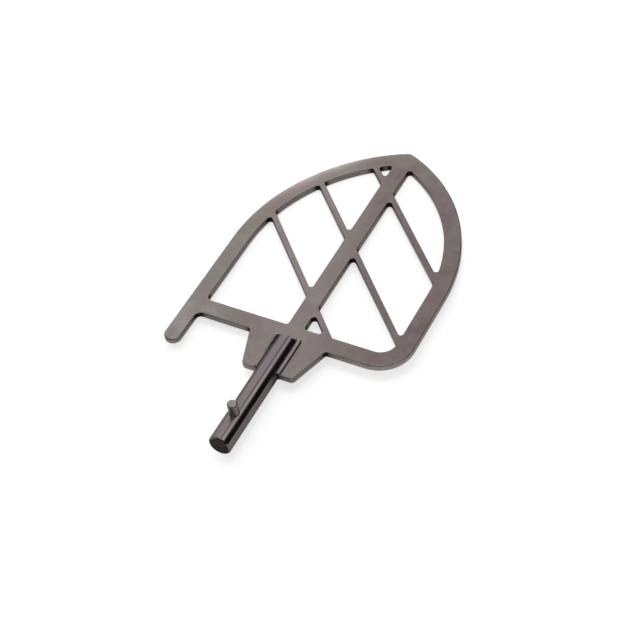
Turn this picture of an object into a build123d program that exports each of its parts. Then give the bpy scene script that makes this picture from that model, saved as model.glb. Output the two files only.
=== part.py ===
from build123d import *
import math
import os

# Mixing blade of a bench-top mortar mixer, with its drive shank and cross pin.
# Millimetres. The origin is the centre of the shank's free end, on the shank's axis.
# +Y runs along the shank to the blade's tip, +X points to the side with the rounded
# corner, and +Z is normal to the flat blade.

# Blade plate
blade_width = 135.0
blade_height = 160.0          # from the bottom bar's lower edge to the sharp apex
plate_thickness = 4.0
rim_width = 10.1
bottom_bar_width = 10.4
rib_width = 10.4
straight_height = 60.0        # where the straight sides turn into the leaf's arcs
apex_radius = 5.0
corner_outer_radius = 20.0    # lower corner on the +X side
corner_inner_radius = 9.5
tail_length = 24.0            # how far the -X side runs on below the bottom bar
rim_edge_round = 1.4

# Slanted bars, all at 45 degrees, falling towards +X
bar_width = 3.5
bar_heights = (30.3, 78.6, 126.9)
window_corner_radius = 1.6
tail_corner_radius = 3.0

# Hub
hub_top_width = 47.0
hub_bottom_width = 31.2
hub_depth = 24.0
hub_corner_radius = 2.5
hub_root_radius = 1.5
slot_clearance = 0.4

# Shank and cross pin
shank_diameter = 13.0
shank_reach = 53.3            # free length below the hub
shank_end_chamfer = 0.7
pin_diameter = 5.8
pin_stand_out = 8.0           # past the shank's surface, at right angles to the blade
pin_from_end = 18.5           # from the shank's free end to the pin's axis
pin_end_round = 0.8

# Weld runs between the shank and the hub
weld_radius = 2.2
weld_long_run = 24.0
weld_short_run = 12.5
weld_end_width = 8.0

# Worked out from the dimensions above
half_width = blade_width / 2
half_thickness = plate_thickness / 2
shank_radius = shank_diameter / 2
bar_y = shank_reach + hub_depth           # lower edge of the bottom bar
shank_length = bar_y
slot_width = shank_diameter + 2 * slot_clearance


def leaf_face(inset, floor_y):
    """Leaf with straight sides, an inset inside the outer outline, above floor_y."""
    rise = blade_height - straight_height
    arc_radius = (half_width ** 2 + rise ** 2) / (2 * half_width)
    arc_centre_x = half_width - arc_radius
    side_x = half_width - inset
    spring_y = bar_y + straight_height
    radius = arc_radius - inset
    apex_y = spring_y + math.sqrt(radius ** 2 - arc_centre_x ** 2)
    mid_angle = math.atan2(apex_y - spring_y, -arc_centre_x) / 2
    mid_x = arc_centre_x + radius * math.cos(mid_angle)
    mid_y = spring_y + radius * math.sin(mid_angle)
    outline = Wire([
        Line((-side_x, floor_y), (side_x, floor_y)).edge(),
        Line((side_x, floor_y), (side_x, spring_y)).edge(),
        ThreePointArc((side_x, spring_y), (mid_x, mid_y), (0, apex_y)).edge(),
        ThreePointArc((0, apex_y), (-mid_x, mid_y), (-side_x, spring_y)).edge(),
        Line((-side_x, spring_y), (-side_x, floor_y)).edge(),
    ])
    return Face(outline)


def corner_near(face, x, y):
    """The vertex of a face that is nearest to (x, y)."""
    return min(face.vertices(), key=lambda v: math.hypot(v.X - x, v.Y - y))


def slanted_bar(height):
    """One straight bar across the whole leaf, at 45 degrees."""
    bar = Rectangle(3 * blade_width, bar_width).face()
    return Pos(0, bar_y + height) * (Rot(0, 0, -45) * bar)


def window_faces():
    """The openings between rim, rib and bars, with rounded corners."""
    inside = leaf_face(rim_width, bar_y + bottom_bar_width)
    round_corner = corner_near(inside, half_width, bar_y)
    inside = inside.fillet_2d(corner_inner_radius, [round_corner])
    tail_corner = corner_near(inside, -half_width, bar_y)
    inside = inside.fillet_2d(tail_corner_radius, [tail_corner])
    rib = Pos(0, bar_y + blade_height / 2) * Rectangle(rib_width, 2 * blade_height).face()
    cut = inside - rib
    for height in bar_heights:
        cut = cut - slanted_bar(height)
    windows = []
    for window in cut.faces():
        sharp = [v for v in window.vertices() if is_sharp(window, v)]
        windows.append(window.fillet_2d(window_corner_radius, sharp))
    return windows


def is_sharp(face, vertex):
    """True where two edges of a face meet at an angle, not in line."""
    tangents = []
    for edge in face.outer_wire().edges():
        for end in (0, 1):
            if (edge.position_at(end) - Vector(vertex.X, vertex.Y, vertex.Z)).length < 1e-5:
                tangents.append(edge.tangent_at(end))
    return abs(tangents[0].cross(tangents[1]).length) > 0.02


def blade_outline():
    """Outer outline of the plate, with tail and hub, without windows or slot."""
    leaf = leaf_face(0, bar_y)
    leaf = leaf.fillet_2d(apex_radius, [corner_near(leaf, 0, bar_y + blade_height)])
    leaf = leaf.fillet_2d(corner_outer_radius, [corner_near(leaf, half_width, bar_y)])
    tail_end_y = bar_y - tail_length + rim_width / 2
    tail_x = -half_width + rim_width / 2
    tail_middle_y = (tail_end_y + bar_y + straight_height) / 2
    tail_height = bar_y + straight_height - tail_end_y
    tail = Pos(tail_x, tail_middle_y) * Rectangle(rim_width, tail_height).face()
    tail_end = Pos(tail_x, tail_end_y) * Circle(rim_width / 2).face()
    hub = Face(Wire.make_polygon([
        (-hub_top_width / 2, bar_y),
        (-hub_bottom_width / 2, bar_y - hub_depth),
        (hub_bottom_width / 2, bar_y - hub_depth),
        (hub_top_width / 2, bar_y),
        (hub_top_width / 2, bar_y + bottom_bar_width / 2),
        (-hub_top_width / 2, bar_y + bottom_bar_width / 2),
    ]))
    for side in (-1, 1):
        toe = corner_near(hub, side * hub_bottom_width / 2, bar_y - hub_depth)
        hub = hub.fillet_2d(hub_corner_radius, [toe])
    outline = (leaf + tail + tail_end + hub).face()
    for side in (-1, 1):
        root = corner_near(outline, side * hub_top_width / 2, bar_y)
        outline = outline.fillet_2d(hub_root_radius, [root])
    tail_root = corner_near(outline, -half_width + rim_width, bar_y)
    return outline.fillet_2d(tail_corner_radius, [tail_root])


def is_rim_edge(edge):
    """True for the face edges of the outer rim, from the tail's end to the round corner."""
    middle = edge.position_at(0.5)
    if abs(abs(middle.Z) - half_thickness) > 1e-4:
        return False
    if middle.Y > bar_y + corner_outer_radius / 4:
        return True
    return middle.X < -half_width + rim_width + 0.1 and middle.Y < bar_y - tail_corner_radius


def make_blade():
    plate = Pos(0, 0, -half_thickness) * extrude(blade_outline(), plate_thickness)
    plate = plate.fillet(rim_edge_round, [e for e in plate.edges() if is_rim_edge(e)])
    for window in window_faces():
        plate = plate - Pos(0, 0, -plate_thickness) * extrude(window, 2 * plate_thickness)
    slot = Pos(0, bar_y - hub_depth) * Box(slot_width, 2 * hub_depth, 2 * plate_thickness)
    return plate - slot


def make_pin():
    """From the shank's axis outwards along +Z."""
    length = shank_radius + pin_stand_out
    pin = Cylinder(pin_diameter / 2, length, align=(Align.CENTER, Align.CENTER, Align.MIN))
    tip = pin.edges().sort_by(Axis.Z)[-1]
    return Pos(0, pin_from_end, 0) * pin.fillet(pin_end_round, [tip])


def shank_bar():
    """The plain round bar, before its end is chamfered and its pin hole drilled."""
    bar = Cylinder(shank_radius, shank_length, align=(Align.CENTER, Align.CENTER, Align.MIN))
    return Rot(-90, 0, 0) * bar


def make_shank():
    bar = shank_bar()
    free_rim = bar.edges().filter_by(GeomType.CIRCLE).sort_by(Axis.Y)[0]
    bar = bar.chamfer(shank_end_chamfer, None, [free_rim])
    hole = Cylinder(pin_diameter / 2, shank_diameter, align=(Align.CENTER, Align.CENTER, Align.MIN))
    return bar - Pos(0, pin_from_end, 0) * hole


def weld_run(start, end, side):
    """A round-ended run of weld from start to end, on the face of the plate at +Z or -Z."""
    length = (end - start).length
    run = Plane(origin=start, z_dir=(end - start).normalized()) * Cylinder(
        weld_radius, length, align=(Align.CENTER, Align.CENTER, Align.MIN)
    )
    for point in (start, end):
        run = run + Pos(point) * Sphere(weld_radius)
    above = Box(4 * hub_depth, 4 * hub_depth, 2 * weld_radius)
    above = Pos(0, bar_y, side * (half_thickness + weld_radius)) * above
    return (run & above) - shank_bar()


def make_welds():
    """Three runs on each face: along both flanks of the shank and across its end."""
    flank_x = math.sqrt(shank_radius ** 2 - half_thickness ** 2)
    top_y = bar_y - weld_radius / 2
    long_y = bar_y - weld_long_run + weld_radius
    short_y = bar_y - weld_short_run + weld_radius
    end_x = weld_end_width / 2 - weld_radius / 2
    welds = {}
    for face, side in (("front", 1), ("back", -1)):
        z = side * half_thickness
        right = weld_run(Vector(flank_x, long_y, z), Vector(flank_x, top_y, z), side)
        left = weld_run(Vector(-flank_x, short_y, z), Vector(-flank_x, top_y, z), side)
        across = weld_run(Vector(-end_x, bar_y, z), Vector(end_x, bar_y, z), side)
        welds["weld_" + face + "_right"] = right
        welds["weld_" + face + "_left"] = left
        welds["weld_" + face + "_end"] = across - right - left
    return welds


def main():
    parts = {
        "mixing_blade": make_blade(),
        "drive_shank": make_shank(),
        "drive_pin": make_pin(),
    }
    parts.update(make_welds())
    os.makedirs("parts", exist_ok=True)
    for name, solid in parts.items():
        export_step(solid, "parts/" + name + ".step")


main()
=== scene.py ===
import bmesh
import bpy
import math
from collections import namedtuple
from mathutils import Matrix, Vector, noise


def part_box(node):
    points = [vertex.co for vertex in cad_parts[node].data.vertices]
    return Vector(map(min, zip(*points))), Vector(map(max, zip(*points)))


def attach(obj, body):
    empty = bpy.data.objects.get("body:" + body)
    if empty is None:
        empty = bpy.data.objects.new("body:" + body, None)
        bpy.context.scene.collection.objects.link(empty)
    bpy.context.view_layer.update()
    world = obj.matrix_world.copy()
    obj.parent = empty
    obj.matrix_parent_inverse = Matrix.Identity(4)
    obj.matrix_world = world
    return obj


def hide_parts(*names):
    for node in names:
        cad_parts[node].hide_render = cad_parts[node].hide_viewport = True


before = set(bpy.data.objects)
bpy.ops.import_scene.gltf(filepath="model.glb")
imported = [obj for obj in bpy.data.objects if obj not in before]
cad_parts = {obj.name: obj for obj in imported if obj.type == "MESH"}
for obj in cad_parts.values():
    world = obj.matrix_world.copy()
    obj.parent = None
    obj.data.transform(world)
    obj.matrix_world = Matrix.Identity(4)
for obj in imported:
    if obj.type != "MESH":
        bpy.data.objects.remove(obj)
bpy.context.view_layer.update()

# The blade of a laboratory mortar mixer on a pale floor. Metres, in the CAD frame: the
# origin is the centre of the shank's free end, +Y runs along the shank to the blade's
# tip, and +Z is normal to the blade.
MM = 0.001

# Blade plate
EDGE_ROUND = 0.45 * MM          # on the windows, the bottom bar and the hub
RIM_ROUND = 0.85 * MM           # on the outer rim and the tail
RIM_FROM = 0.62                 # share of the half width where the wider round sets in
RIM_FULL = 0.78
RIM_BLEND = 6 * MM              # height over which it also sets in above the bottom bar
RIGHT_RIM_CRISP = 0.6           # share of the rim's wider round that is lost at the right
ROUND_WAVER = 0.22              # share by which the rounds vary along the edge
WAVER_SCALE = 90                # of the noise behind it, per metre
SHOULDER = 0.9 * MM             # width of the dressed strip on the face, beside the round
RIM_SHOULDER = 2.8 * MM
RIM_DROP = 0.04 * MM            # how far the dressed strip falls to the rim's round
WORN_PLACE = Vector((-48, 196)) * MM   # where the bowl has worn the rim most
WORN_REACH = 30 * MM
WORN_SHOULDER = 4.3 * MM        # added there to the strip's width
WORN_DROP = 0.4 * MM            # and to its fall
SHOULDER_STEPS = 4
SHOULDER_EDGE = 0.4             # share of rubbed edge where the strip meets the round
ROUND_STEPS = 5
SHADE_CURVE_RADIUS = 5 * MM            # curves tighter than this get painted shade on their cut walls
CORNER_SHADE_REACH = 2.4 * MM           # how far the painted shade fades out along the wall

# Outlines, taken from level cuts through the CAD plate
CUT_HEIGHT = 0.02 * MM
SAME_POINT = 0.002 * MM         # points closer together than this are one
STRAIGHT_TURN = 0.003           # radians by which a straight run may turn at a point
SQUARE_TURN = math.radians(50)  # a point that turns more than this is a square corner
CORNER_EASE = 0.3 * MM          # radius that such a corner gets
CORNER_STEPS = 4
LONG_CHORD = 3                  # a chord this many times as long as the next is straight
RUN_STEP = 1.5 * MM             # longest step along an outline
TURN_STEP = math.radians(6)

# Shank and cross pin
SHANK_CHAMFER = 0.7 * MM
SHANK_EASE = 0.18 * MM
SHANK_EASE_STEPS = 5
SHANK_AROUND = 128
PIN_ROUND = 0.8 * MM
PIN_EASE_STEPS = 6
PIN_AROUND = 64
SAWN_FROM = 0.8                 # how far a face must turn along the axis to count as an end face; the shank's end faces get painted shade
SAWN_FULL = 0.98

# Weld beads: height at the start and farther on, the share of the run in between, and
# the reach across the bead of the painted shade along the seam, at the start and farther on
Bead = namedtuple("Bead", "start_height height settled start_seam seam")
RIGHT_BEAD = Bead(1.5 * MM, 0.9 * MM, 0.2, 0.12, 0.04)
LEFT_BEAD = Bead(3.2 * MM, 0.3 * MM, 1.0, 0.6, 0.5)
END_BEAD = Bead(1.2 * MM, 1.2 * MM, 1.0, 0.1, 0.1)
BEAD_WIDTH = 2 * MM
RIGHT_RUN_ON = 1.4 * MM         # how far the right beads run on past the CAD's
TOE_SHADE_RUN = 3 * MM              # length of the painted shade along the toe at a bead's start
# how far the painted shade reaches round the bead's start
START_SHADE_REACH = 0.8 * MM
BEAD_STATIONS = 96
CROWDING = 0.35                 # share by which the stations crowd at a bead's ends
BEAD_SPOKES = 40
BEAD_FLAT = 0.7                 # share of the half width that is flat on top
UNEVEN = 0.06                   # share by which a bead's height and width vary
UNEVEN_SCALE = 700
RIPPLE_PITCH = 0.95 * MM
RIPPLE_DEPTH = 0.06 * MM
RIPPLE_SHARPNESS = 0.7
BEAD_SINK = 0.3 * MM            # how deep the bead's closed underside lies

# Tints of the plate's face, by place
MAUVE_LEAN = 0.3                # by which the mauve's border leans left towards the tip
MAUVE_FROM = 34 * MM
MAUVE_FULL = 62 * MM
OLIVE_FROM = 217 * MM           # along Y
OLIVE_FULL = 227 * MM
BRIGHT_TAIL_X = (-40 * MM, -52 * MM)   # where the painted light on the tail's face sets in and is full
BRIGHT_TAIL_Y = (96 * MM, 78 * MM)
REFLECTING_WALL_X = (20 * MM, 50 * MM)     # likewise for the painted reflection that brightens the cut walls
HEAT_REACH = (-6 * MM, 5 * MM)         # likewise for heat tint, from the weld's start

# Camera: the viewing direction in the CAD frame and what lies on its axis
CAMERA_AZIMUTH = math.radians(55.82)
CAMERA_ELEVATION = math.radians(47.64)
CAMERA_ROLL = math.radians(-9.49)
CAMERA_DISTANCE = 0.9117
CAMERA_LENS = 92.67
CAMERA_AIM = Vector((9.20, 98.40, 0)) * MM

# The object lies on the shank's inner end and the blade's tip, leaning towards the tail
FLOOR_LEAN = math.radians(1.4)
FLOOR_GAP = 0.05 * MM
FLOOR_SIZE = 40.0
FLOOR_GREY = (0.94, 0.92, 0.91)   # the board in reflections and bounced light
FLOOR_LIFT = 0.68                 # added to the board where the camera sees it

# Light: a round soft box overhead, and glows in the room as
# (bearing, elevation, full radius, faded radius, radiance), with the angles in degrees
BOX_PLACE = (25, 80)              # bearing and elevation
BOX_SIZE = 0.4
BOX_DISTANCE = 1.4
BOX_TARGET = Vector((0, 130, 0)) * MM
BOX_RADIANCE = 4.5
ROOM_GLOW = 0.008
GLOWS = (
    (-15, 38, 24, 41, 0.60),
    (-80, 10, 15, 45, 0.22),
    (4, 16, 6, 17, 4.0),
    (68, 52, 5, 15, 0.84),
    (180, 75, 20, 54, 0.40),
)


# ---------------------------------------------------------------- outlines and meshes

def level_loops(node, height):
    """The closed loops where the level z = height cuts a CAD node, as 2-D points."""
    cut = bmesh.new()
    cut.from_mesh(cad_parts[node].data)
    bmesh.ops.bisect_plane(
        cut,
        geom=cut.verts[:] + cut.edges[:] + cut.faces[:],
        plane_co=(0, 0, height),
        plane_no=(0, 0, 1),
        clear_inner=True,
        clear_outer=True,
    )
    bmesh.ops.remove_doubles(cut, verts=cut.verts[:], dist=SAME_POINT)
    seen = set()
    loops = []
    for start in cut.verts:
        if start in seen:
            continue
        loop = []
        here = start
        while here is not None:
            seen.add(here)
            loop.append(here.co.to_2d())
            ahead = [e.other_vert(here) for e in here.link_edges]
            here = next((v for v in ahead if v not in seen), None)
        loops.append(loop)
    cut.free()
    return loops


def turn_at(points, i):
    """Signed angle by which a closed loop turns at its point i."""
    before = points[i] - points[i - 1]
    after = points[(i + 1) % len(points)] - points[i]
    return math.atan2(before.x * after.y - before.y * after.x, before.dot(after))


def without_straight_points(points):
    """A loop without the points that lie on a straight run."""
    return [point for i, point in enumerate(points) if abs(turn_at(points, i)) > STRAIGHT_TURN]


def area(points):
    """Signed area of a loop, positive when it runs anticlockwise."""
    return sum(a.x * b.y - a.y * b.x for a, b in zip(points, points[1:] + points[:1])) / 2


def eased_corners(points):
    """A loop whose square corners are small arcs."""
    eased = []
    for i, point in enumerate(points):
        turn = turn_at(points, i)
        if abs(turn) < SQUARE_TURN:
            eased.append(point)
            continue
        reach = CORNER_EASE * math.tan(abs(turn) / 2)
        before = (point - points[i - 1]).normalized()
        after = (points[(i + 1) % len(points)] - point).normalized()
        side = math.copysign(1, turn)
        start = point - before * reach
        centre = start + Vector((-before.y, before.x)) * CORNER_EASE * side
        spoke = start - centre
        for k in range(CORNER_STEPS + 1):
            spin = Matrix.Rotation(turn * k / CORNER_STEPS, 2)
            eased.append(centre + spin @ spoke)
    return eased


def tangents(points):
    """Directions along the smooth curve through a loop's points.

    A chord much longer than the next one is a straight run, and keeps its direction.
    """
    found = []
    for i in range(len(points)):
        before = points[i] - points[i - 1]
        after = points[(i + 1) % len(points)] - points[i]
        if before.length > LONG_CHORD * after.length:
            found.append(before.normalized())
        elif after.length > LONG_CHORD * before.length:
            found.append(after.normalized())
        else:
            bend = before.normalized() * after.length + after.normalized() * before.length
            found.append(bend.normalized())
    return found


def smooth_loop(points):
    """Close points along a loop, each with the curve's direction there."""
    along = tangents(points)
    result = []
    for i, point in enumerate(points):
        goal = points[(i + 1) % len(points)]
        chord = (goal - point).length
        first = along[i] * chord
        last = along[(i + 1) % len(points)] * chord
        steps = max(1, math.ceil(chord / RUN_STEP))
        steps = max(steps, math.ceil(first.angle(last, 0) / TURN_STEP))
        for k in range(steps):
            t = k / steps
            place = (
                point * (2 * t ** 3 - 3 * t ** 2 + 1)
                + first * (t ** 3 - 2 * t ** 2 + t)
                + goal * (3 * t ** 2 - 2 * t ** 3)
                + last * (t ** 3 - t ** 2)
            )
            heading = (
                point * (6 * t ** 2 - 6 * t)
                + first * (3 * t ** 2 - 4 * t + 1)
                + goal * (6 * t - 6 * t ** 2)
                + last * (3 * t ** 2 - 2 * t)
            )
            result.append((place, heading.normalized()))
    return result


def smoothstep(low, high, value):
    """0 up to low, 1 from high on, and a smooth rise in between."""
    t = min(1, max(0, (value - low) / (high - low)))
    return t * t * (3 - 2 * t)


class Shape:
    """Vertices with their own normals and shares for a material, and the faces on them."""

    def __init__(self):
        self.mesh = bmesh.new()
        self.normals = []
        self.shares = {"edge": [], "wall": [], "corner": [], "run": []}

    def add(self, place, normal, edge=0.0, wall=0.0, corner=0.0, run=0.0):
        vertex = self.mesh.verts.new(place)
        self.normals.append(normal.normalized())
        self.shares["edge"].append(edge)
        self.shares["wall"].append(wall)
        self.shares["corner"].append(corner)
        self.shares["run"].append(run)
        return vertex

    def strip(self, ring, other):
        """Quads between two rings of as many vertices."""
        for i in range(len(ring)):
            j = (i + 1) % len(ring)
            self.mesh.faces.new((ring[i], ring[j], other[j], other[i]))

    def fan(self, ring, pole):
        """Triangles from a ring to one vertex."""
        for i in range(len(ring)):
            self.mesh.faces.new((ring[i], ring[(i + 1) % len(ring)], pole))

    def cap(self, rings):
        """A flat face between an outer ring and the rings inside it."""
        edges = []
        for ring in rings:
            for i in range(len(ring)):
                edges.append(self.mesh.edges.get((ring[i - 1], ring[i])))
        bmesh.ops.triangle_fill(self.mesh, edges=edges, use_beauty=True, use_dissolve=False)

    def finish(self, name, material, slot, *nodes):
        """Make the object, in place of the CAD nodes that it stands for."""
        bmesh.ops.recalc_face_normals(self.mesh, faces=self.mesh.faces[:])
        data = bpy.data.meshes.new(name)
        self.mesh.to_mesh(data)
        self.mesh.free()
        data.shade_smooth()
        data.normals_split_custom_set_from_vertices(self.normals)
        for share, values in self.shares.items():
            attribute = data.attributes.new(share, "FLOAT", "POINT")
            attribute.data.foreach_set("value", values)
        data.materials.append(material)
        piece = bpy.data.objects.new(name, data)
        bpy.context.scene.collection.objects.link(piece)
        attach(piece, "root")
        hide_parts(*nodes)


# ---------------------------------------------------------------- the blade

def rim_share(place, half_width, bar_y):
    """1 on the dressed outer rim and the tail, 0 on the hub and the bottom bar."""
    spread = abs(place.x) / half_width
    low_down = 1 - smoothstep(bar_y, bar_y + RIM_BLEND, place.y)
    return 1 - low_down * (1 - smoothstep(RIM_FROM, RIM_FULL, spread))


def edge_profile(share, worn, waver, half_thickness):
    """From the top face over the shoulder and round the edge to the bottom face.

    Each entry is inset, height, tilt of the normal, and the shares of edge and wall.
    """
    radius = (EDGE_ROUND + (RIM_ROUND - EDGE_ROUND) * share) * waver
    shoulder = SHOULDER + (RIM_SHOULDER - SHOULDER + WORN_SHOULDER * worn) * share
    drop = (RIM_DROP + WORN_DROP * worn) * share
    steepest = math.atan(2 * drop / shoulder)
    rows = []
    for k in range(SHOULDER_STEPS):
        u = k / SHOULDER_STEPS
        inset = radius * (1 - math.sin(steepest)) + shoulder * (1 - u)
        tilt = math.atan(2 * drop / shoulder * u)
        rows.append((inset, half_thickness - drop * u * u, tilt, SHOULDER_EDGE * u * u, 0))
    for k in range(ROUND_STEPS + 1):
        tilt = steepest + (math.pi / 2 - steepest) * k / ROUND_STEPS
        inset = radius * (1 - math.sin(tilt))
        height = half_thickness - drop - radius * (math.cos(steepest) - math.cos(tilt))
        edge = SHOULDER_EDGE + (1 - SHOULDER_EDGE) * math.sin(2 * tilt)
        rows.append((inset, height, tilt, edge, smoothstep(0.9, 1.45, tilt)))
    mirrored = [(i, -z, math.pi - t, e, w) for i, z, t, e, w in reversed(rows)]
    return rows + mirrored


def inner_corners(line):
    """Where a line of (place, heading) turns tightly towards the open side."""
    found = []
    for i, (place, heading) in enumerate(line):
        goal, onward = line[(i + 1) % len(line)]
        turn = heading.x * onward.y - heading.y * onward.x
        if turn < -(goal - place).length / SHADE_CURVE_RADIUS:
            found.append(place)
    return found


def make_blade(material):
    """The plate, walled along its outlines from the dressed top face to the bottom face."""
    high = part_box("mixing_blade")[1]
    half_thickness = high.z
    half_width = high.x
    bar_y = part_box("drive_shank")[1].y
    cuts = level_loops("mixing_blade", CUT_HEIGHT)
    loops = [without_straight_points(loop) for loop in cuts]
    loops.sort(key=lambda loop: -abs(area(loop)))
    shape = Shape()
    top_rings = []
    bottom_rings = []
    for index, loop in enumerate(loops):
        outer = index == 0
        if (area(loop) > 0) != outer:
            loop.reverse()
        line = smooth_loop(eased_corners(loop))
        corners = inner_corners(line)
        rings = []
        run = 0.0
        previous = line[-1][0]
        for place, heading in line:
            run += (place - previous).length
            previous = place
            outward = Vector((heading.y, -heading.x, 0))
            share = rim_share(place, half_width, bar_y) if outer else 0
            share *= 1 - RIGHT_RIM_CRISP * smoothstep(0, half_width, place.x)
            layer = Vector((place.x, place.y, index * 0.1))
            waver = 1 + ROUND_WAVER * noise.noise(layer * WAVER_SCALE)
            worn = math.exp(-((place - WORN_PLACE).length / WORN_REACH) ** 2)
            profile = edge_profile(share, worn, waver, half_thickness)
            nearest = min((place - corner).length for corner in corners)
            # painted shade: the cut walls darken near tight inner corners, where shade falls
            corner = 1 - smoothstep(0, CORNER_SHADE_REACH, nearest)
            column = []
            for inset, height, tilt, edge, wall in profile:
                spot = place.to_3d() - outward * inset + Vector((0, 0, height))
                normal = outward * math.sin(tilt) + Vector((0, 0, math.cos(tilt)))
                column.append(shape.add(spot, normal, edge, wall, corner, run))
            rings.append(column)
        levels = list(zip(*rings))
        for upper, lower in zip(levels, levels[1:]):
            shape.strip(upper, lower)
        top_rings.append(levels[0])
        bottom_rings.append(levels[-1])
    shape.cap(top_rings)
    shape.cap(bottom_rings)
    shape.finish("blade_plate", material, "blade_steel", "mixing_blade")


# ---------------------------------------------------------------- shank and pin

def rounded_profile(corners, ease, steps):
    """Corners of a half section (radius, distance along) as eased points with normals."""
    rows = []
    for i, corner in enumerate(corners):
        if i in (0, len(corners) - 1):
            neighbour = corners[1] if i == 0 else corners[-2]
            heading = (neighbour - corner) if i == 0 else (corner - neighbour)
            heading.normalize()
            rows.append((corner, Vector((heading.y, -heading.x))))
            continue
        before = (corner - corners[i - 1]).normalized()
        after = (corners[i + 1] - corner).normalized()
        turn = before.angle_signed(after)
        reach = ease * math.tan(abs(turn) / 2)
        start = corner - before * reach
        outward = Vector((before.y, -before.x))
        centre = start - outward * ease
        for k in range(steps + 1):
            spin = Matrix.Rotation(-turn * k / steps, 2)
            normal = spin @ outward
            rows.append((centre + normal * ease, normal))
    return rows


def lathe(rows, origin, axis, side, around):
    """A turned solid about an axis; only the first and last rows lie on the axis."""
    shape = Shape()
    across = axis.cross(side)
    levels = []
    for i, (point, normal) in enumerate(rows):
        if i in (0, len(rows) - 1):
            levels.append(shape.add(origin + axis * point.y, axis * normal.y, wall=1.0))
            continue
        end_face_shade = smoothstep(SAWN_FROM, SAWN_FULL, abs(normal.y))
        ring = []
        for k in range(around):
            angle = math.tau * k / around
            spoke = side * math.cos(angle) + across * math.sin(angle)
            spot = origin + spoke * point.x + axis * point.y
            ring.append(shape.add(spot, spoke * normal.x + axis * normal.y, wall=end_face_shade))
        levels.append(ring)
    shape.fan(levels[1], levels[0])
    for ring, other in zip(levels[1:-2], levels[2:-1]):
        shape.strip(ring, other)
    shape.fan(levels[-2], levels[-1])
    return shape


def make_shank(material):
    """From the chamfered free end to the end that is welded into the hub."""
    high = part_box("drive_shank")[1]
    radius = high.z
    length = high.y
    corners = [
        Vector((0, 0)),
        Vector((radius - SHANK_CHAMFER, 0)),
        Vector((radius, SHANK_CHAMFER)),
        Vector((radius, length)),
        Vector((0, length)),
    ]
    rows = rounded_profile(corners, SHANK_EASE, SHANK_EASE_STEPS)
    origin = Vector((0, 0, 0))
    shape = lathe(rows, origin, Vector((0, 1, 0)), Vector((1, 0, 0)), SHANK_AROUND)
    shape.finish("shank_bar", material, "shank_steel", "drive_shank")


def make_pin(material):
    """From the shank's axis outwards along +Z."""
    low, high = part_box("drive_pin")
    radius = (high.y - low.y) / 2
    corners = [
        Vector((0, 0)),
        Vector((radius, 0)),
        Vector((radius, high.z)),
        Vector((0, high.z)),
    ]
    rows = rounded_profile(corners, PIN_ROUND, PIN_EASE_STEPS)
    origin = Vector((0, (low.y + high.y) / 2, 0))
    shape = lathe(rows, origin, Vector((0, 0, 1)), Vector((0, 1, 0)), PIN_AROUND)
    shape.finish("cross_pin", material, "pin_steel", "drive_pin")


# ---------------------------------------------------------------- welds

def make_bead(name, node, start, end, outward, face, bead, contact, material):
    """A rippled bead on the plate's face, from start to end along its toe.

    outward points across the bead, from the shank to the toe, and face is +1 or -1 in Z.
    contact(height) is how far from the toe the bead meets the shank.
    """
    shape = Shape()
    length = (end - start).length
    heading = (end - start).normalized()
    rise = Vector((0, 0, face))
    rings = []
    for i in range(BEAD_STATIONS + 1):
        t = i / BEAD_STATIONS
        distance = length * (t - CROWDING * math.sin(math.tau * t) / math.tau)
        here = start + heading * distance
        if i in (0, BEAD_STATIONS):
            rings.append(shape.add(here - outward * BEAD_WIDTH / 2, heading))
            continue
        from_end = min(distance, length - distance)
        taper = math.sqrt(1 - max(0, 1 - from_end / BEAD_WIDTH) ** 2)
        onward = smoothstep(0, bead.settled, t)
        height = bead.start_height + (bead.height - bead.start_height) * onward
        seam_shade_width = bead.start_seam + (bead.seam - bead.start_seam) * onward
        toe_shade = 1 - smoothstep(0.5 * TOE_SHADE_RUN, TOE_SHADE_RUN, distance)
        start_shade = 1 - smoothstep(0.5 * START_SHADE_REACH, START_SHADE_REACH, distance)
        uneven = 1 + UNEVEN * noise.noise(here * UNEVEN_SCALE)
        peak = contact(height)
        ring = []
        for k in range(BEAD_SPOKES):
            angle = math.tau * k / BEAD_SPOKES
            across = math.cos(angle)
            reach = (peak if across > 0 else BEAD_WIDTH - peak * 0.4) * taper * uneven
            bow = 0.5 * BEAD_WIDTH * (1 - across ** 2)
            wave = abs(math.sin(math.pi * (distance + bow) / RIPPLE_PITCH))
            if math.sin(angle) >= 0:
                top = height * uneven + RIPPLE_DEPTH * wave ** RIPPLE_SHARPNESS
                up = top * taper * (1 - smoothstep(BEAD_FLAT, 1, abs(across)))
            else:
                up = BEAD_SINK * taper * math.sin(angle)
            # painted shade: dark along the seam against the shank, round the bead's start and
            # along its toe there
            seam = 1 - smoothstep(0.5 * seam_shade_width, seam_shade_width, across)
            seam = max(seam, start_shade, toe_shade * smoothstep(0.6, 0.85, across))
            spot = here - outward * peak + outward * across * reach + rise * up
            ring.append(shape.add(spot, rise, edge=seam, run=distance))
        rings.append(ring)
    shape.fan(rings[1], rings[0])
    for ring, other in zip(rings[1:-2], rings[2:-1]):
        shape.strip(ring, other)
    shape.fan(rings[-2], rings[-1])
    bmesh.ops.recalc_face_normals(shape.mesh, faces=shape.mesh.faces[:])
    shape.mesh.normal_update()
    shape.normals = [v.normal.copy() for v in shape.mesh.verts]
    shape.finish(name, material, "weld_metal", node)


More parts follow.
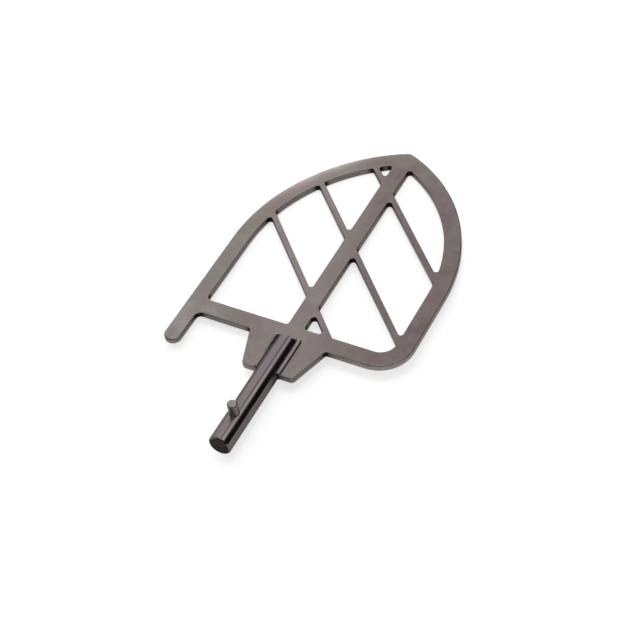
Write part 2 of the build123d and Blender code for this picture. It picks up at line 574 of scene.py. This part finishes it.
def make_welds(material):
    """On each face, a bead along both flanks of the shank and one across its end."""
    plate_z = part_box("mixing_blade")[1].z
    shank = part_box("drive_shank")[1]
    for face_name, face in (("front", 1), ("back", -1)):
        z = face * plate_z
        for side_name, side, bead in (("right", 1, RIGHT_BEAD), ("left", -1, LEFT_BEAD)):
            node = "weld_" + face_name + "_" + side_name
            low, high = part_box(node)
            toe = high.x if side > 0 else -low.x
            top = high.y + (RIGHT_RUN_ON if side > 0 else 0)

            def to_shank(height):
                return toe - math.sqrt(shank.z ** 2 - (plate_z + height) ** 2)

            make_bead(
                "bead_" + face_name + "_" + side_name, node,
                Vector((side * toe, top, z)), Vector((side * toe, low.y, z)),
                Vector((side, 0, 0)), face, bead, to_shank, material,
            )
        node = "weld_" + face_name + "_end"
        low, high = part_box(node)
        reach = high.y - shank.y
        make_bead(
            "bead_" + face_name + "_end", node,
            Vector((low.x, high.y, z)), Vector((high.x, high.y, z)),
            Vector((0, 1, 0)), face, END_BEAD, lambda height: reach, material,
        )


# ---------------------------------------------------------------- materials

class Nodes:
    """Short calls for building a material's node tree."""

    def __init__(self, name):
        self.material = bpy.data.materials.new(name)
        self.material.use_nodes = True
        self.tree = self.material.node_tree
        self.tree.nodes.clear()
        self.shader = self.tree.nodes.new("ShaderNodeBsdfPrincipled")
        output = self.tree.nodes.new("ShaderNodeOutputMaterial")
        self.tree.links.new(self.shader.outputs[0], output.inputs["Surface"])
        coordinates = self.tree.nodes.new("ShaderNodeTexCoord")
        self.place = coordinates.outputs["Object"]

    def put(self, socket, value):
        """Link a node's output to a socket, or set the socket to a plain value."""
        if hasattr(value, "links"):
            self.tree.links.new(value, socket)
        else:
            socket.default_value = value

    def shader_input(self, name, value):
        self.put(self.shader.inputs[name], value)

    def attribute(self, name):
        node = self.tree.nodes.new("ShaderNodeAttribute")
        node.attribute_name = name
        return node.outputs["Fac"]

    def math(self, operation, first, second=0.0, clamp=False):
        node = self.tree.nodes.new("ShaderNodeMath")
        node.operation = operation
        node.use_clamp = clamp
        self.put(node.inputs[0], first)
        self.put(node.inputs[1], second)
        return node.outputs[0]

    def stretched(self, place, scale, turn=0.0):
        """Coordinates scaled per axis, and turned about Z first."""
        node = self.tree.nodes.new("ShaderNodeMapping")
        self.put(node.inputs["Vector"], place)
        node.inputs["Rotation"].default_value = (0, 0, turn)
        node.inputs["Scale"].default_value = scale
        return node.outputs[0]

    def noise(self, place, scale, detail=3.0, roughness=0.5):
        node = self.tree.nodes.new("ShaderNodeTexNoise")
        self.put(node.inputs["Vector"], place)
        node.inputs["Scale"].default_value = scale
        node.inputs["Detail"].default_value = detail
        node.inputs["Roughness"].default_value = roughness
        return node.outputs["Fac"]

    def spread(self, value, low, high, to_low=0.0, to_high=1.0):
        """value from low..high mapped to to_low..to_high, and held there."""
        node = self.tree.nodes.new("ShaderNodeMapRange")
        self.put(node.inputs["Value"], value)
        node.inputs["From Min"].default_value = low
        node.inputs["From Max"].default_value = high
        node.inputs["To Min"].default_value = to_low
        node.inputs["To Max"].default_value = to_high
        return node.outputs[0]

    def mix(self, share, first, second):
        """A colour between two, by share."""
        node = self.tree.nodes.new("ShaderNodeMix")
        node.data_type = "RGBA"
        self.put(node.inputs[0], share)
        self.put(node.inputs[6], first)
        self.put(node.inputs[7], second)
        return node.outputs[2]

    def axis(self, place, name):
        node = self.tree.nodes.new("ShaderNodeSeparateXYZ")
        self.put(node.inputs[0], place)
        return node.outputs[name]

    def vector(self, x, y, z):
        node = self.tree.nodes.new("ShaderNodeCombineXYZ")
        self.put(node.inputs[0], x)
        self.put(node.inputs[1], y)
        self.put(node.inputs[2], z)
        return node.outputs[0]

    def bump(self, height, distance, strength=1.0, below=None):
        node = self.tree.nodes.new("ShaderNodeBump")
        self.put(node.inputs["Height"], height)
        node.inputs["Distance"].default_value = distance
        node.inputs["Strength"].default_value = strength
        if below is not None:
            self.put(node.inputs["Normal"], below)
        return node.outputs[0]


def colour(red, green, blue):
    """An opaque colour for a node's socket."""
    return (red, green, blue, 1.0)


def face_tints(n):
    """Broad tints of the plate's face: mauve to the right, olive at the tip, and painted light on
    the tail.
    """
    tarnish = n.spread(n.noise(n.place, 24, 3, 0.55), 0.4, 0.6)
    face = n.mix(tarnish, colour(0.368, 0.305, 0.314), colour(0.345, 0.328, 0.284))
    along = n.axis(n.place, "Y")
    sideways = n.axis(n.place, "X")
    leaning = n.math("ADD", sideways, n.math("MULTIPLY", along, MAUVE_LEAN))
    mauve = n.spread(leaning, MAUVE_FROM, MAUVE_FULL, 0.0, 0.95)
    face = n.mix(mauve, face, colour(0.183, 0.121, 0.132))
    # painted light: the tail's face lighter towards its end
    tail = n.math("MULTIPLY", n.spread(sideways, *BRIGHT_TAIL_X), 0.7)
    tail = n.math("MULTIPLY", tail, n.spread(along, *BRIGHT_TAIL_Y))
    face = n.mix(tail, face, colour(0.50, 0.455, 0.45))
    patches = n.spread(n.noise(n.stretched(n.place, (1, 1, 1), 0.6), 61, 4, 0.6), 0.35, 0.65)
    olive = n.math("MULTIPLY", n.spread(along, OLIVE_FROM, OLIVE_FULL), n.spread(patches, 0, 0.7))
    face = n.mix(olive, face, colour(0.235, 0.208, 0.156))
    face = n.mix(n.math("MULTIPLY", patches, 0.5), face, colour(0.275, 0.228, 0.228))
    mossy = n.spread(n.noise(n.place, 38, 3, 0.6), 0.46, 0.6, 0.0, 0.32)
    face = n.mix(mossy, face, colour(0.26, 0.245, 0.175))
    turned = n.stretched(n.place, (1, 1, 1), 2.1)
    rosy = n.spread(n.noise(turned, 47, 3, 0.6), 0.48, 0.62, 0.0, 0.32)
    return n.mix(rosy, face, colour(0.265, 0.168, 0.18))


def face_marks(n, face, grain, worn):
    """The face with its stains, specks, grinding lines and rubbed edges."""
    stains = n.spread(n.noise(n.place, 170, 3, 0.6), 0.42, 0.68, 0.0, 0.35)
    face = n.mix(stains, face, colour(0.30, 0.285, 0.255))
    specks = n.spread(n.noise(n.place, 480, 2, 0.6), 0.35, 0.7, 0.0, 0.3)
    face = n.mix(specks, face, colour(0.23, 0.2, 0.195))
    face = n.mix(n.spread(grain, 0.3, 0.7, 0.0, 0.2), face, colour(0.30, 0.27, 0.262))
    return n.mix(n.math("MULTIPLY", worn, 0.35), face, colour(0.50, 0.46, 0.45))


def cut_wall(n, striation):
    """Sawn walls, with a painted reflection that brightens them towards the right and painted
    shade in tight curves.
    """
    cut = n.mix(striation, colour(0.44, 0.40, 0.38), colour(0.58, 0.53, 0.51))
    # painted reflection: cut walls lighter towards the right, as if mirroring the lit floor
    wall_reflection = n.spread(n.axis(n.place, "X"), *REFLECTING_WALL_X, 0.0, 0.6)
    cut = n.mix(wall_reflection, cut, colour(0.80, 0.74, 0.72))
    # painted shade in tight inner corners
    return n.mix(n.attribute("corner"), cut, colour(0.05, 0.042, 0.04))


def blade_steel():
    """Satin steel plate with ground faces, rubbed edges and duller cut walls."""
    n = Nodes("satin_steel")
    wall = n.attribute("wall")
    grain = n.noise(n.stretched(n.place, (2600, 130, 400), 0.12), 1, 3, 0.6)
    grit = n.noise(n.place, 2600, 2, 0.7)
    rubs = n.spread(n.noise(n.place, 420, 3, 0.6), 0.35, 0.6)
    worn = n.math("MULTIPLY", n.attribute("edge"), rubs, True)
    streaks = n.vector(n.math("MULTIPLY", n.attribute("run"), 2600), 0, 0)
    striation = n.noise(streaks, 1, 2, 0.6)
    face = face_marks(n, face_tints(n), grain, worn)
    n.shader_input("Base Color", n.mix(wall, face, cut_wall(n, striation)))
    n.shader_input("Metallic", 1.0)
    rough = n.spread(n.noise(n.place, 75, 4, 0.6), 0.3, 0.7, 0.33, 0.43)
    rough = n.math("ADD", rough, n.spread(grain, 0.3, 0.7, -0.03, 0.05))
    rough = n.math("SUBTRACT", rough, n.math("MULTIPLY", worn, 0.08))
    rough = n.math("ADD", rough, n.math("MULTIPLY", wall, 0.1))
    n.shader_input("Roughness", rough)
    lines = n.bump(grain, 0.004 * MM, 0.8)
    pits = n.bump(grit, 0.003 * MM, 0.6, lines)
    steps = n.bump(n.math("MULTIPLY", striation, wall), 0.03 * MM, 0.8, pits)
    waves = n.bump(n.noise(n.place, 110, 2, 0.5), 0.02 * MM, 1.0, steps)
    n.shader_input("Normal", waves)
    return n.material


def shank_steel():
    """Turned and polished bar, tinted by the weld's heat, with painted shade on its sawn ends."""
    n = Nodes("turned_steel")
    wall = n.attribute("wall")
    along = n.axis(n.place, "Y")
    rings = n.noise(n.vector(0, n.math("MULTIPLY", along, 4200), 0), 1, 2, 0.6)
    bands = n.noise(n.vector(0, n.math("MULTIPLY", along, 320), 0), 1, 2, 0.5)
    rubs = n.noise(n.stretched(n.place, (2600, 90, 2600)), 1, 3, 0.6)
    blotch = n.spread(n.noise(n.place, 55, 3, 0.6), 0.35, 0.65)
    steel = n.mix(blotch, colour(0.362, 0.322, 0.316), colour(0.325, 0.282, 0.294))
    steel = n.mix(n.spread(rubs, 0.5, 0.75, 0.0, 0.1), steel, colour(0.29, 0.262, 0.258))
    weld_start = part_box("weld_front_right")[0].y
    heat = n.spread(along, weld_start + HEAT_REACH[0], weld_start + HEAT_REACH[1])
    cloud = n.spread(n.noise(n.place, 160, 2, 0.5), 0.3, 0.6, 0.6, 1)
    heat = n.math("MULTIPLY", heat, cloud)
    steel = n.mix(n.math("MULTIPLY", heat, 0.75), steel, colour(0.335, 0.28, 0.315))
    # painted shade: the shank's end faces near black, mottled
    scale = n.spread(n.noise(n.place, 420, 3, 0.6), 0.35, 0.65)
    end_face_shade = n.mix(scale, colour(0.09, 0.058, 0.052), colour(0.035, 0.028, 0.03))
    n.shader_input("Base Color", n.mix(wall, steel, end_face_shade))
    n.shader_input("Metallic", 1.0)
    rough = n.spread(blotch, 0, 1, 0.15, 0.20)
    rough = n.math("ADD", rough, n.spread(rubs, 0.45, 0.75, 0.0, 0.06))
    rough = n.math("ADD", rough, n.math("MULTIPLY", heat, 0.05))
    rough = n.math("ADD", rough, n.math("MULTIPLY", wall, 0.25))
    n.shader_input("Roughness", rough)
    turned = n.bump(rings, 0.0008 * MM, 0.7)
    n.shader_input("Normal", n.bump(bands, 0.006 * MM, 0.6, turned))
    return n.material


def pin_steel():
    """Drawn pin, dulled on its end by the mixer's bayonet."""
    n = Nodes("drawn_steel")
    drawn = n.noise(n.stretched(n.place, (600, 3000, 600)), 1, 3, 0.6)
    dull = n.spread(n.noise(n.place, 500, 3, 0.6), 0.35, 0.65)
    steel = n.mix(dull, colour(0.42, 0.385, 0.375), colour(0.34, 0.305, 0.30))
    n.shader_input("Base Color", steel)
    n.shader_input("Metallic", 1.0)
    n.shader_input("Roughness", n.spread(dull, 0, 1, 0.24, 0.34))
    n.shader_input("Normal", n.bump(drawn, 0.003 * MM, 0.7))
    return n.material


def weld_metal():
    """Weld bead with a dull skin and heat tint, and painted shade along the seam against the
    shank and round the bead's start.
    """
    n = Nodes("weld_metal")
    tint = n.spread(n.noise(n.place, 260, 3, 0.55), 0.35, 0.65)
    skin = n.mix(tint, colour(0.40, 0.35, 0.34), colour(0.33, 0.285, 0.30))
    specks = n.spread(n.noise(n.place, 1500, 3, 0.7), 0.55, 0.7)
    skin = n.mix(n.math("MULTIPLY", specks, 0.4), skin, colour(0.17, 0.145, 0.14))
    # painted shade along the seam and round the bead's start
    skin = n.mix(n.attribute("edge"), skin, colour(0.035, 0.028, 0.03))
    n.shader_input("Base Color", skin)
    n.shader_input("Metallic", 1.0)
    n.shader_input("Roughness", n.spread(tint, 0, 1, 0.28, 0.4))
    grit = n.noise(n.place, 3200, 3, 0.6)
    n.shader_input("Normal", n.bump(grit, 0.004 * MM, 0.7))
    return n.material


def floor_paint():
    """Pale board, lifted to white for the camera alone, as under a bright exposure.

    The steel mirrors the board at its own, greyer level.
    """
    n = Nodes("pale_board")
    seen = n.tree.nodes.new("ShaderNodeLightPath").outputs["Is Camera Ray"]
    tooth = n.noise(n.place, 900, 3, 0.6)
    pale = n.mix(tooth, colour(0.92, 0.92, 0.92), colour(0.95, 0.95, 0.95))
    n.shader_input("Base Color", n.mix(seen, colour(*FLOOR_GREY), pale))
    n.shader_input("Emission Color", colour(1, 1, 1))
    n.shader_input("Emission Strength", n.math("MULTIPLY", seen, FLOOR_LIFT))
    n.shader_input("Roughness", 0.9)
    n.shader_input("Specular IOR Level", 0.0)
    return n.material


# ---------------------------------------------------------------- stage

def view_axes():
    """The camera's right, up and forward directions in the CAD frame."""
    sin_a = math.sin(CAMERA_AZIMUTH)
    cos_a = math.cos(CAMERA_AZIMUTH)
    sin_e = math.sin(CAMERA_ELEVATION)
    cos_e = math.cos(CAMERA_ELEVATION)
    right = Vector((sin_a, cos_a, 0))
    ahead = Vector((-cos_a, sin_a, 0))
    up = ahead * sin_e + Vector((0, 0, cos_e))
    forward = ahead * cos_e - Vector((0, 0, sin_e))
    spin = Matrix.Rotation(-CAMERA_ROLL, 3, forward)
    return spin @ right, spin @ up, forward


def make_camera():
    """A long lens, aimed at the blade with a slight roll."""
    right, up, forward = view_axes()
    data = bpy.data.cameras.new("camera")
    data.lens = CAMERA_LENS
    data.sensor_width = 36
    camera = bpy.data.objects.new("camera", data)
    bpy.context.scene.collection.objects.link(camera)
    pose = Matrix((right, up, -forward)).transposed().to_4x4()
    pose.translation = CAMERA_AIM - forward * CAMERA_DISTANCE
    camera.matrix_world = pose
    bpy.context.scene.camera = camera


def make_floor():
    """A board under the shank's inner end and the blade's tip."""
    shank_low, shank_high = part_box("drive_shank")
    blade_low, blade_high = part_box("mixing_blade")
    slope = (blade_low.z - shank_low.z) / (blade_high.y - shank_high.y)
    lean = math.tan(FLOOR_LEAN)
    touch = Vector((0, shank_high.y, shank_low.z - FLOOR_GAP))
    along_x = Vector((1, 0, -lean)).normalized()
    along_y = Vector((0, 1, slope)).normalized()
    grid = bmesh.new()
    bmesh.ops.create_grid(grid, x_segments=8, y_segments=8, size=FLOOR_SIZE / 2)
    for vertex in grid.verts:
        vertex.co = touch + along_x * vertex.co.x + along_y * vertex.co.y
    data = bpy.data.meshes.new("floor")
    grid.to_mesh(data)
    grid.free()
    data.materials.append(floor_paint())
    floor = bpy.data.objects.new("floor", data)
    bpy.context.scene.collection.objects.link(floor)


def stage_direction(bearing, elevation):
    """Unit vector; bearing 0 is behind the blade as the camera sees it, 90 is right."""
    ahead = Vector((-math.cos(CAMERA_AZIMUTH), math.sin(CAMERA_AZIMUTH), 0))
    right = Vector((math.sin(CAMERA_AZIMUTH), math.cos(CAMERA_AZIMUTH), 0))
    turn = math.radians(bearing)
    raised = math.radians(elevation)
    level = ahead * math.cos(turn) + right * math.sin(turn)
    return level * math.cos(raised) + Vector((0, 0, math.sin(raised)))


def soft_box():
    """One round soft box overhead, a little behind the blade."""
    direction = stage_direction(*BOX_PLACE)
    data = bpy.data.lights.new("soft_box", "AREA")
    data.shape = "DISK"
    data.size = BOX_SIZE
    data.energy = BOX_RADIANCE * (math.pi * BOX_SIZE / 2) ** 2
    light = bpy.data.objects.new("soft_box", data)
    bpy.context.scene.collection.objects.link(light)
    light.location = BOX_TARGET + direction * BOX_DISTANCE
    light.rotation_mode = "QUATERNION"
    light.rotation_quaternion = direction.to_track_quat("Z", "Y")


def make_world():
    """A dim room with soft glows of light, and dark low down on the right."""
    world = bpy.data.worlds.new("studio")
    world.use_nodes = True
    tree = world.node_tree
    direction = tree.nodes.new("ShaderNodeTexCoord").outputs["Generated"]
    total = None
    for bearing, elevation, core, reach, radiance in GLOWS:
        dot = tree.nodes.new("ShaderNodeVectorMath")
        dot.operation = "DOT_PRODUCT"
        tree.links.new(direction, dot.inputs[0])
        dot.inputs[1].default_value = stage_direction(bearing, elevation)
        fade = tree.nodes.new("ShaderNodeMapRange")
        fade.interpolation_type = "SMOOTHSTEP"
        tree.links.new(dot.outputs["Value"], fade.inputs["Value"])
        fade.inputs["From Min"].default_value = math.cos(math.radians(reach))
        fade.inputs["From Max"].default_value = math.cos(math.radians(core))
        fade.inputs["To Max"].default_value = radiance
        add = tree.nodes.new("ShaderNodeMath")
        add.operation = "ADD"
        tree.links.new(fade.outputs[0], add.inputs[0])
        if total is None:
            add.inputs[1].default_value = ROOM_GLOW
        else:
            tree.links.new(total, add.inputs[1])
        total = add.outputs[0]
    background = tree.nodes["Background"]
    background.inputs["Color"].default_value = (1.0, 0.99, 0.98, 1.0)
    tree.links.new(total, background.inputs["Strength"])
    bpy.context.scene.world = world


make_blade(blade_steel())
make_shank(shank_steel())
make_pin(pin_steel())
make_welds(weld_metal())

make_camera()
make_floor()
make_world()
soft_box()
bpy.context.scene.view_settings.view_transform = "Standard"
